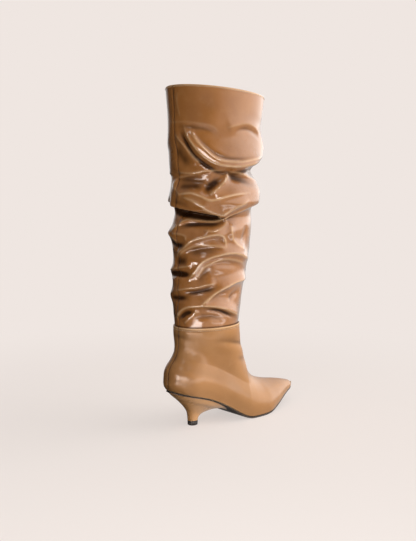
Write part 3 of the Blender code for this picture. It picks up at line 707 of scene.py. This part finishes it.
def makeUpper(finish):
    turns = skinTurns(upperShape["columns"])
    t = np.radians(turns)
    body = np.array([upperRing(row, t) for row in moreRows(rings, upperShape["rows"])])
    rim = upperShape["rim"] * mm
    top = ankle["height"] - rim
    levels = np.linspace(ankle["height"] - ankle["lap"], top, upperShape["lapRows"])
    collar = np.array([insetRing(z, t, 0) for z in levels])
    outside = np.concatenate([body, collar])
    outward = gridNormals(outside)

    # soft wrinkles over the instep and a dent along the ankle's stitches
    heights = (outside[..., 2] - ankle["height"]) / mm
    turnGrid = np.repeat(turns[None, :], len(outside), axis=0)
    push = np.zeros(heights.shape)
    for depth, softness, points in footWrinkles:
        line = path(points, upperShape["wrinklePoints"])
        degrees = turnsFrom(line[:, 0], turnGrid[..., None])
        near = np.hypot(degrees * upperShape["degreeMm"], heights[..., None] - line[:, 1])
        fade = fadeEnds(near.argmin(axis=-1) / (len(line) - 1), upperShape["wrinkleEnds"])
        push += depth * fade * np.exp(-(near.min(axis=-1) / softness) ** 2)
    up = np.linspace(0, 1, len(outside))[:, None] + 0 * turnGrid
    soft = softNoise(turnGrid / 360, up, *upperShape["soft"])
    soft *= ease(up / upperShape["softFrom"]) * ease((1 - up) / upperShape["softTo"])
    underStitches = (heights + upperShape["stitchLine"]) / upperShape["dentWidth"]
    push += upperShape["softDepth"] * soft - upperShape["dent"] * np.exp(-underStitches ** 2)
    seam = seamTurns(turnGrid) * upperShape["degreeMm"]
    groove = np.exp(-(seam / upperShape["seamWidth"]) ** 2) * ease(up / upperShape["seamFrom"])
    push -= upperShape["seamDepth"] * groove
    push *= ease(up / upperShape["edgeFade"])
    shaped = outside + outward * (push * mm)[..., None]

    bow = halfRound(upperShape["edgeRows"])
    edge = np.array([insetRing(top + rim * math.sin(a), t, rim * (1 - math.cos(a))) for a in bow])
    step = np.linspace(len(outside) - 1, 0, upperShape["innerRows"]).round().astype(int)
    inside = (outside - outward * foot["wall"])[step]
    inside[0] = insetRing(top, t, foot["wall"])
    inside[-1, :, 2] = footEdge(inside[-1, :, 1])
    grid = np.concatenate([shaped, edge, inside])
    beyond = np.zeros((len(edge) + len(inside), len(turns)))
    onEdge = np.arange(len(beyond))[:, None] < upperShape["edgeHighlightRows"]
    depth = (top - outside[step, 0, 2]) / mm + 0.01
    # painted shade in the troughs of the wrinkles, the stitch dent and the seam groove; painted highlight on
    # the rim
    values = {
        "valleyShade": np.concatenate([np.clip(-push / upperShape["paintedShadeDepth"], 0, 1), beyond]),
        "crestHighlight": np.concatenate([ease(heights + upperShape["rimHighlightWidth"]), beyond + onEdge]),
        "seam": np.concatenate([seam, np.repeat(seam[-1:], len(beyond), axis=0)]),
        "inner": np.concatenate([0 * heights, 0 * edge[..., 0], depth[:, None] + 0 * inside[..., 0]]),
        "rise": np.concatenate([heights, beyond]),
    }
    surface("foot_leather", grid, finish, "foot_leather", "upper", closeOver=True, values=values)
    return shaped


# A plate along the foot: at each y its section is flat above and below with half-round edges
def plateGrid(ys, outer, inner, top, bottom):
    half = (top - bottom)[:, None] / 2
    low, high = inner[:, None] + half, outer[:, None] - half
    share = np.linspace(0, 1, soleShape["flatPoints"])[None, :]
    a = halfRound(soleShape["edgePoints"])[None, :]
    flat = low + (high - low) * share
    x = np.concatenate([flat, high + half * np.sin(a), flat[:, ::-1], low - half * np.sin(a)], axis=1)
    middleZ = ((top + bottom) / 2)[:, None]
    z = np.concatenate([middleZ + half + 0 * share, middleZ + half * np.cos(a),
                        middleZ - half + 0 * share, middleZ - half * np.cos(a)], axis=1)
    return np.stack([x, np.repeat(ys[:, None], x.shape[1], axis=1), z], axis=-1)


# Places along the foot, closer together at both ends
def stations(count, back, front):
    return back + (front - back) * (1 - np.cos(np.linspace(0, math.pi, count))) / 2


# full: the station and how far the sole has gone there from the seat's thickness to the forefoot's
soleShape = {
    "stations": 120, "sockStations": 90, "flatPoints": 9, "edgePoints": 7, "sock": 0.0022,
    "sockLift": 0.00002, "tuck": 0.0009, "tuckEnd": 0.5, "thinnest": 0.00002,
    "full": ((0.0, 0.0), (0.30, 0.0), (0.47, 1.0), (1.0, 1.0)),
}
seatBack = ringEnds(rings[0])[0][0]


# Thin under the seat, full from the waist on
def soleThickness(y):
    full = tableAt(soleShape["full"], station(y), 1)
    return foot["seatThickness"] + (foot["soleThickness"] - foot["seatThickness"]) * full


def soleUnder(y):
    return footEdge(y) - foot["gap"] - soleThickness(y)


# A plate's thickness, never more than its width
def pinched(thickness, outer, inner):
    return np.minimum(thickness, np.maximum(outer - inner, soleShape["thinnest"]))


# The sole: a plate between the outline's two edges, tucked in under the seat
def makeSole(finish):
    ys = stations(soleShape["stations"], seatBack, toeY)
    tuck = soleShape["tuck"] * (1 - ease(station(ys) / soleShape["tuckEnd"]))
    outer, inner = sides(ys, seatBack, toeY, -tuck)
    top = footEdge(ys) - foot["gap"]
    grid = plateGrid(ys, outer, inner, top, top - pinched(soleThickness(ys), outer, inner))
    surface("sole_leather", grid, finish, "sole", "outsole", caps=True)


# The sock: a thinner plate on the foot's lower edge, inset by the wall
def makeSock(finish):
    inset = foot["wall"] + foot["gap"] * 3
    back, front = seatBack + inset, toeY - 3 * inset
    ys = stations(soleShape["sockStations"], back, front)
    outer, inner = sides(ys, back, front, -inset)
    bottom = footEdge(ys) + soleShape["sockLift"]
    grid = plateGrid(ys, outer, inner, bottom + pinched(soleShape["sock"], outer, inner), bottom)
    surface("sock_lining", grid, finish, "sock", "insole", caps=True)


# The heel: rings from its tip to its cup, whose back and front rise differently, so the front sweeps up
# into a wing under the waist. Each ring gives how far its back, back rise, front, front rise and width have
# gone from tip to cup.
heelShape = {
    "tipWidth": 0.0142, "tipLength": 0.0150, "tipHeight": 0.0065, "width": 0.056, "wing": 0.060,
    "columns": 96, "rows": 64, "squareness": 0.8, "fitting": 6,
    "rings": ((0.000, 0.00, 0.00, 0.00, 0.00), (0.010, 0.13, 0.02, 0.62, 0.02),
              (0.045, 0.27, 0.09, 1.20, 0.08), (0.175, 0.43, 0.24, 1.72, 0.24),
              (0.450, 0.64, 0.50, 1.95, 0.52), (0.770, 0.83, 0.78, 1.55, 0.84),
              (1.000, 1.00, 1.00, 1.00, 1.00)),
    "tipRings": ((0.90, 0), (0.96, 1 / 13), (0.985, 0.5), (1, 12 / 13), (0.95, 1)),
}
heelTurns = np.arange(heelShape["columns"]) * 2 * math.pi / heelShape["columns"]


# One ring of the heel: its height goes from the back's to the front's with a cosine, then fits the sole above
def heelRing(row, turns):
    back, backRise, front, frontRise, width = row
    half = heelShape["tipLength"] / 2
    ringBack, ringFront = -half + back * (seatBack + half), half + front * (heelShape["wing"] - half)
    low = heelShape["tipHeight"] + foot["gap"]
    backTop, frontTop = (float(soleUnder(y)) - foot["gap"] for y in (seatBack, heelShape["wing"]))
    backZ, frontZ = low + backRise * (backTop - low), low + frontRise * (frontTop - low)
    along = (1 - np.cos(turns)) / 2
    y = ringBack + (ringFront - ringBack) * along
    wide = heelShape["tipWidth"] / 2 + width * (heelShape["width"] - heelShape["tipWidth"]) / 2
    under = soleUnder(y) - foot["gap"]
    z = backZ + (frontZ - backZ) * along
    z = z + (under - z) * backRise ** heelShape["fitting"]
    x = wide * np.sign(np.sin(turns)) * np.abs(np.sin(turns)) ** heelShape["squareness"]
    return np.stack([x, y, np.minimum(z, under)], axis=1)


# Ring to centre in a few steps, closing an end; each step keeps the height that its rule gives
def closing(ring, height, shares=(0.85, 0.6, 0.3, 0.0)):
    centre = ring.mean(axis=0)
    steps = np.array([centre + (ring - centre) * share for share in shares])
    steps[..., 2] = height(steps[..., 1])
    return steps


# The heel's rings, closed by a flat bottom and by a cup that follows the sole
def makeHeel(finish):
    body = np.array([heelRing(row, heelTurns) for row in moreRows(heelShape["rings"], heelShape["rows"])])
    bottom = closing(body[0], lambda y: body[0, 0, 2] + 0 * y)
    cup = closing(body[-1], lambda y: soleUnder(y) - foot["gap"])
    grid = np.concatenate([bottom[::-1], body, cup])
    surface("heel_leather", grid, finish, "heel_leather", "heel", merge=True)


# The top piece: the heel's lowest ring, scaled and set at shares of the tip's height
def makeTip(finish):
    top, height = heelRing(heelShape["rings"][0], heelTurns), heelShape["tipHeight"]
    body = np.array([top * (share, share, 0) + (0, 0, rise * height)
                     for share, rise in heelShape["tipRings"]])
    ends = [closing(body[k], lambda y: body[k, 0, 2] + 0 * y) for k in (0, -1)]
    grid = np.concatenate([ends[0][::-1], body, ends[1]])
    surface("heel_tip_rubber", grid, finish, "top_piece", "heel_tip", merge=True)


# A row of stitches along a closed line: each is a small grain with pointed ends that dips into the leather
stitchShape = {
    "pitch": 3.1, "length": 2.3, "radius": 0.40, "stand": 0.16, "dip": 0.5, "rings": 7, "corners": 8,
    "bluntness": 4, "ahead": 0.001, "underCollar": 0.003, "underAnkle": 0.004,
}


def unit(vectors):
    return vectors / np.linalg.norm(vectors, axis=1, keepdims=True)


# Grains at even steps along the line, each set in its own frame of ahead, across and out
def makeStitches(name, line, outward, finish, slot):
    closed, outward = np.vstack([line, line[:1]]), np.vstack([outward, outward[:1]])
    gone = np.concatenate([[0], np.cumsum(np.linalg.norm(np.diff(closed, axis=0), axis=1))])
    count = int(gone[-1] / (stitchShape["pitch"] * mm))
    at = (np.arange(count) + 0.5) * gone[-1] / count

    def onLine(places, rows):
        return np.stack([np.interp(places % gone[-1], gone, rows[:, k]) for k in range(3)], axis=1)

    centre, out = onLine(at, closed), onLine(at, outward)
    ahead = unit(onLine(at + stitchShape["ahead"], closed) - centre)
    out = unit(out - ahead * (out * ahead).sum(axis=1, keepdims=True))
    across = np.cross(out, ahead)

    # one grain: how far along, across and out each of its points lies
    corners, power = stitchShape["corners"], stitchShape["bluntness"]
    along = np.linspace(-1, 1, stitchShape["rings"])[:, None]
    a = np.arange(corners) * 2 * math.pi / corners
    thick = np.sqrt(np.clip(1 - along ** power, 0, 1)) * stitchShape["radius"]
    sink = stitchShape["stand"] - stitchShape["dip"] * along ** power * stitchShape["radius"]
    lengthwise = along * stitchShape["length"] / 2 + 0 * a
    grain = np.stack([lengthwise, thick * np.sin(a), thick * np.cos(a) + sink], axis=-1)
    points = centre[:, None] + mm * grain.reshape(-1, 3) @ np.stack([ahead, across, out], axis=1)
    first = np.arange(count)[:, None, None] * corners * len(along)
    faces = (first + quads(len(along), corners)).reshape(-1, 4)
    addMesh(name, points.reshape(-1, 3), faces, finish, slot, merge=True)


# Finishes
patent = Finish("tan patent leather", Specular_IOR_Level=0.12, Coat_Roughness=0.12, Coat_IOR=1.5)
satin = Finish("tan smooth leather", Specular_IOR_Level=0.12, Coat_Roughness=0.17, Coat_IOR=1.5)
# the heel's leather is painted a lighter tan than the upper to stand in for light bounced from the floor
heelLeatherPaintedLighter = Finish("tan heel leather painted lighter", Specular_IOR_Level=0.5, Coat_Weight=0.35, Coat_Roughness=0.12,
                  Coat_IOR=1.5)
soleFinish = Finish("dark sole leather", Specular_IOR_Level=0.4)
rubber = Finish("dark heel rubber", Specular_IOR_Level=0.4)
sockFinish = Finish("beige sock leather", Specular_IOR_Level=0.3)
thread = Finish("tan thread", Specular_IOR_Level=0.3)

# painted shade brown, blended into the creases and also drawing the dark back seam line; painted highlight tan
# for crests and rims
paintedShadeAndSeamBrown, paintedHighlightTan = (0.030, 0.010, 0.003, 1), (0.68, 0.43, 0.23, 1)
liningTan, liningShade = (0.50, 0.37, 0.245, 1), (0.40, 0.285, 0.18, 1)

# What the two leathers share: pattern scales, bump depths in metres, and where the blends start and end. The
# collar band and the calm ankle are in mm over the ankle seam.
leather = {
    "cloud": 16, "mottle": 75, "lining": 40, "wrinkle": 120, "soft": 48, "pores": 420, "grain": 1300,
    "softDepth": 0.0011, "wrinkleDepth": 0.0003, "poreDepth": 0.00003, "grainDepth": 0.00001,
    "seamDepth": 0.0006, "wrinkleSharp": 6, "mottled": 0.35, "paintedShadeStrength": 0.95, "paintedHighlightStrength": 0.7,
    "seamDark": 0.85, "seamFrom": 0.15, "seamTo": 0.75, "bandFrom": 272, "bandTo": 304, "calmFrom": -60,
    "calmTo": -28, "innerFade": 0.6, "roughMottle": 0.10, "roughValley": 0.06, "roughInner": 0.45,
    "roughBand": 0.08, "smoothCrest": 0.05, "bandCoat": 0.15, "valleyMatt": 0.9,
}
# ankleCoat: how much of the coat stays near the ankle seam, where the foot is calmer than at its heel
patentLook = {
    "tones": ((0.33, 0.128, 0.033, 1), (0.39, 0.156, 0.043, 1), (0.43, 0.186, 0.060, 1)),
    "crumple": 0.12, "gloss": 0.26, "coat": 1.0, "liningFrom": skin["turnIn"], "ankleCoat": 1.0,
}
satinLook = {
    "tones": ((0.375, 0.171, 0.058, 1), (0.415, 0.196, 0.071, 1), (0.445, 0.220, 0.085, 1)),
    "crumple": 0.04, "gloss": 0.32, "coat": 0.34, "liningFrom": 0.0, "ankleCoat": 0.3,
}


# Tan clouds and mottle, with painted shade in valleys, darker along the seams, painted highlights on crests and
# lining tan inside. The coat fades in valleys, on the collar band, near the ankle seam and inside.
def leatherLook(finish, look):
    mottle = finish.noise(leather["mottle"], 4, 0.6)
    valleyShade, crestHighlight = finish.attribute("valleyShade"), finish.attribute("crestHighlight")
    rise, depth = finish.attribute("rise"), finish.attribute("inner")
    seam = finish.clamped(finish.attribute("seam"), leather["seamFrom"], leather["seamTo"])
    band = finish.clamped(rise, leather["bandFrom"], leather["bandTo"])
    inner = finish.clamped(depth, look["liningFrom"], look["liningFrom"] + leather["innerFade"])

    tone, tone2, tone3 = look["tones"]
    color = finish.blend(finish.clamped(finish.noise(leather["cloud"], 2), 0.35, 0.65), tone, tone2)
    color = finish.blend(finish.clamped(mottle, 0.45, 0.75, 0, leather["mottled"]), color, tone3)
    # painted shade in the valleys
    color = finish.blend(finish.clamped(valleyShade, -0.05, 1.0, 0, leather["paintedShadeStrength"]), color, paintedShadeAndSeamBrown)
    # painted highlight on crests and rims
    color = finish.blend(crestHighlight * leather["paintedHighlightStrength"], color, paintedHighlightTan)
    groove = (1 - seam) * finish.clamped(depth, 0, 1, 1, 0)
    color = finish.blend(groove * leather["seamDark"], color, paintedShadeAndSeamBrown)
    patches = finish.clamped(finish.noise(leather["lining"], 3), 0.4, 0.65)
    color = finish.blend(inner, color, finish.blend(patches, liningTan, liningShade))

    rough = look["gloss"] + leather["roughMottle"] * finish.clamped(mottle, 0.35, 0.7)
    rough = rough + leather["roughValley"] * valleyShade + inner * leather["roughInner"]
    rough = rough + band * leather["roughBand"] - crestHighlight * leather["smoothCrest"]
    coat = finish.clamped(valleyShade, 0, leather["valleyMatt"], look["coat"], 0)
    calm = finish.clamped(rise, leather["calmFrom"], leather["calmTo"], 1, look["ankleCoat"])
    coat = coat * (1 - leather["bandCoat"] * band) * (1 - inner) * calm

    wrinkle = finish.noise(leather["wrinkle"], 3, 0.5, finish.stretched((1, 1, 1.5)))
    ridges = 1 - finish.node("ShaderNodeMath", {"operation": "ABSOLUTE"}, {0: wrinkle * 2 - 1})
    bump = finish.bump(finish.noise(leather["soft"], 3, 0.45), leather["softDepth"] * look["crumple"])
    bump = finish.bump(ridges ** leather["wrinkleSharp"], leather["wrinkleDepth"] * look["crumple"], bump)
    bump = finish.bump(finish.noise(leather["pores"], 3, 0.55), leather["poreDepth"], bump)
    bump = finish.bump(finish.noise(leather["grain"], 2, 0.6), leather["grainDepth"], bump)
    bump = finish.bump(seam, leather["seamDepth"], bump)
    finish.feed("Base Color", color).feed("Roughness", rough).feed("Coat Weight", coat).feed("Normal", bump)


leatherLook(patent, patentLook)
leatherLook(satin, satinLook)


# Dark and light patches at one scale, which roughness follows, and a grain at another
def plainLook(finish, dark, light, scale, rough, spread, bumpDepth, grainScale):
    tone = finish.noise(scale, 4, 0.6)
    color = finish.blend(finish.clamped(tone, 0.35, 0.7), dark, light)
    roughness = rough + spread * finish.clamped(tone, 0.3, 0.7)
    bump = finish.bump(finish.noise(grainScale, 3, 0.6), bumpDepth)
    finish.feed("Base Color", color).feed("Roughness", roughness).feed("Normal", bump)


# lighter tan than the upper: painted bounce light from the floor
plainLook(heelLeatherPaintedLighter, (0.58, 0.285, 0.105, 1), (0.64, 0.325, 0.13, 1), 22, 0.24, 0.10, 0.000015, 700)
plainLook(soleFinish, (0.030, 0.016, 0.010, 1), (0.055, 0.032, 0.020, 1), 60, 0.38, 0.2, 0.00008, 500)
plainLook(rubber, (0.022, 0.015, 0.011, 1), (0.040, 0.028, 0.020, 1), 90, 0.50, 0.15, 0.00006, 900)
plainLook(sockFinish, liningShade, liningTan, 45, 0.55, 0.15, 0.00006, 800)
plainLook(thread, (0.56, 0.36, 0.20, 1), (0.68, 0.47, 0.29, 1), 800, 0.55, 0.1, 0.00006, 3000)
print("finishes made")

shaftSkin = makeShaft(patent)
print("shaft made")
footSkin = makeUpper(satin)
print("upper made")
makeSole(soleFinish)
makeSock(sockFinish)
makeHeel(heelLeatherPaintedLighter)
makeTip(rubber)
print("sole and heel made")


# Stitches along the row of a skin whose back lies nearest a height
def stitchRow(name, skinGrid, height, slot):
    row = int(np.abs(skinGrid[:, 0, 2] - height).argmin())
    makeStitches(name, skinGrid[row], gridNormals(skinGrid)[row], thread, slot)


collarTop = ankle["height"] + leg["height"]
stitchRow("collar_stitches", shaftSkin, collarTop - stitchShape["underCollar"], "shaft_leather")
stitchRow("ankle_stitches", footSkin, ankle["height"] - stitchShape["underAnkle"], "foot_leather")
print("stitches made")

# Studio: one pale bowl, floor and wall in one, that glows a little so that it stays even. Lamps light it near
# the boot alone, and further off it glows on its own.
studio = {
    "pale": (0.863, 0.791, 0.753, 1), "lit": (0.30, 0.275, 0.262, 1), "glow": 0.67, "near": 0.25, "far": 0.85,
    "floor": (0, 0.4, 0.9), "flat": 1.5, "wall": 2.9, "height": 2.6, "columns": 96, "bendRows": 14,
}
backdrop = Finish("pale backdrop", Specular_IOR_Level=0.0, Roughness=0.9, Emission_Strength=1)


# Rings of a flat floor, a quarter round and a wall, turned about the upright axis
def makeStage():
    a = np.arange(studio["columns"]) * 2 * math.pi / studio["columns"]
    bend = np.linspace(0, math.pi / 2, studio["bendRows"])
    turn = studio["wall"] - studio["flat"]
    floor = np.array(studio["floor"])
    reach = np.concatenate([floor, studio["flat"] + turn * np.sin(bend), [studio["wall"]]])[:, None]
    height = np.concatenate([0 * floor, turn * (1 - np.cos(bend)), [studio["height"]]])[:, None]
    grid = np.stack([reach * np.cos(a), reach * np.sin(a), height + 0 * a], axis=-1)
    bowl = surface("pale_backdrop", grid, backdrop, None)
    bowl.visible_glossy = False
    bowl.visible_diffuse = False


makeStage()
away = backdrop.node("ShaderNodeVectorMath", {"operation": "LENGTH"}, {0: backdrop.place()}, "Value")
far = backdrop.clamped(away, studio["near"], studio["far"])
nearGlow = tuple(share * studio["glow"] for share in studio["pale"][:3]) + (1,)
backdrop.feed("Emission Color", backdrop.blend(far, nearGlow, studio["pale"]))
backdrop.feed("Base Color", backdrop.blend(far, studio["lit"], (0, 0, 0, 1)))

# Camera: level distance, turn round the boot, and a slight tilt down
view = {
    "azimuth": 49, "distance": 1.2, "side": 0.0227, "height": 0.358, "tilt": 2.0, "lens": 71.05, "sensor": 36,
    "shift": -0.1450, "clip": (0.05, 20),
}
azimuth, tilt = math.radians(view["azimuth"]), math.radians(view["tilt"])
across = Vector((math.cos(azimuth), math.sin(azimuth), 0))
ahead = Vector((-across.y, across.x, 0))
cameraData = bpy.data.cameras.new("photo view")
cameraData.lens, cameraData.sensor_width, cameraData.sensor_fit = view["lens"], view["sensor"], "HORIZONTAL"
cameraData.shift_y = view["shift"]
cameraData.clip_start, cameraData.clip_end = view["clip"]
camera = bpy.data.objects.new("photo view", cameraData)
camera.location = -ahead * view["distance"] + across * view["side"] + Vector((0, 0, view["height"]))
look = ahead * math.cos(tilt) - Vector((0, 0, math.sin(tilt)))
camera.rotation_euler = look.to_track_quat("-Z", "Y").to_euler()
bpy.context.scene.collection.objects.link(camera)
bpy.context.scene.camera = camera

# The surroundings are bright on the right, behind and above, dark on the left. Each glow has a way (right of
# the view, ahead, up), the cosines towards it where it begins and where it is full, and its strength there.
surroundings = {
    "color": (1.0, 0.98, 0.96, 1), "dark": 0.02,
    "right": ((0.99, 0.12, 0), 0.3, 1.0, 3.2), "behind": ((0.1, 1, 0), 0.55, 0.95, 0.95),
    "above": ((0, 0, 1), 0.1, 1.0, 0.25), "floor": ((1, 0, 0), -0.3, 0.45, 0.75),
    "horizon": ((0, 0, 1), -0.14, 0.06, 1),
}
upward = Vector((0, 0, 1))
world = bpy.data.worlds.new("studio")
world.use_nodes = True
worldLook = Nodes(world.node_tree, "Background")
direction = worldLook.node("ShaderNodeTexCoord")


def inView(right, forward, up):
    return across * right + ahead * forward + upward * up


# A glow that grows with the cosine between the view's direction and its way
def glowing(name, darkest=0.0):
    way, begin, full, strength = surroundings[name]
    ways = {0: direction, 1: tuple(inView(*way))}
    facing = worldLook.node("ShaderNodeVectorMath", {"operation": "DOT_PRODUCT"}, ways, "Value")
    return worldLook.clamped(facing, begin, full, darkest, strength)


walls = glowing("right", surroundings["dark"]) + glowing("behind") + glowing("above")
floor = glowing("floor", surroundings["dark"])
level = glowing("horizon")
worldLook.feed("Strength", floor * (1 - level) + walls * level)
worldLook.shader.inputs["Color"].default_value = surroundings["color"]
bpy.context.scene.world = world
bpy.context.scene.view_settings.view_transform = "Standard"

# Softboxes: place given as (right of the view, ahead of it, up), metres from under the leg, then size and
# watts. Matt ones give no glints and shiny ones nothing but glints.
warm, lampWhite = (1, 0.98, 0.95), (1, 0.98, 0.96)
softboxes = {
    "overhead": {"at": (0.25, 0.15, 1.55), "size": (1.0, 0.7), "watts": 3, "color": (1, 0.99, 0.96)},
    "right": {"at": (2.0, 0.3, 0.8), "size": (1.8, 1.8), "watts": 22, "only": "matt",
              "color": (1, 0.99, 0.95)},
    "fill": {"at": (-0.35, -1.2, 0.85), "size": (0.9, 0.9), "watts": 5.1, "only": "matt", "color": warm},
    "low": {"at": (0.15, -0.75, 0.10), "size": (0.6, 0.3), "watts": 1.9, "only": "matt", "color": warm},
    "high": {"at": (0.45, -0.70, 1.05), "size": (0.30, 0.22), "watts": 3.0, "only": "shiny"},
    "near": {"at": (-0.10, -0.40, 0.07), "size": (0.36, 0.10), "watts": 1.5, "only": "shiny"},
    "nearLeft": {"at": (-0.34, -0.48, 0.09), "size": (0.11, 0.09), "watts": 0.75, "only": "shiny"},
    "under": {"at": (0.12, -0.22, 0.03), "size": (0.50, 0.05), "watts": 0.4, "only": "shiny"},
    "highLeft": {"at": (-0.30, -0.75, 0.95), "size": (0.22, 0.16), "watts": 0.7, "only": "shiny"},
    "nearRight": {"at": (0.46, -0.26, 0.05), "size": (0.36, 0.06), "watts": 0.3, "only": "shiny"},
}
legFoot, legMiddle = Vector((0, 0.04, 0)), Vector((0, 0.04, 0.26))
for name, box in softboxes.items():
    lamp = bpy.data.lights.new(name, "AREA")
    lamp.shape, lamp.size, lamp.size_y = "RECTANGLE", *box["size"]
    lamp.energy, lamp.color = box["watts"], box.get("color", lampWhite)
    light = bpy.data.objects.new(name, lamp)
    light.location = inView(*box["at"]) + legFoot
    light.rotation_euler = (legMiddle - light.location).to_track_quat("-Z", "Y").to_euler()
    light.visible_camera = False
    light.visible_glossy = box.get("only") != "matt"
    light.visible_diffuse = box.get("only") != "shiny"
    bpy.context.scene.collection.objects.link(light)
print("studio made")
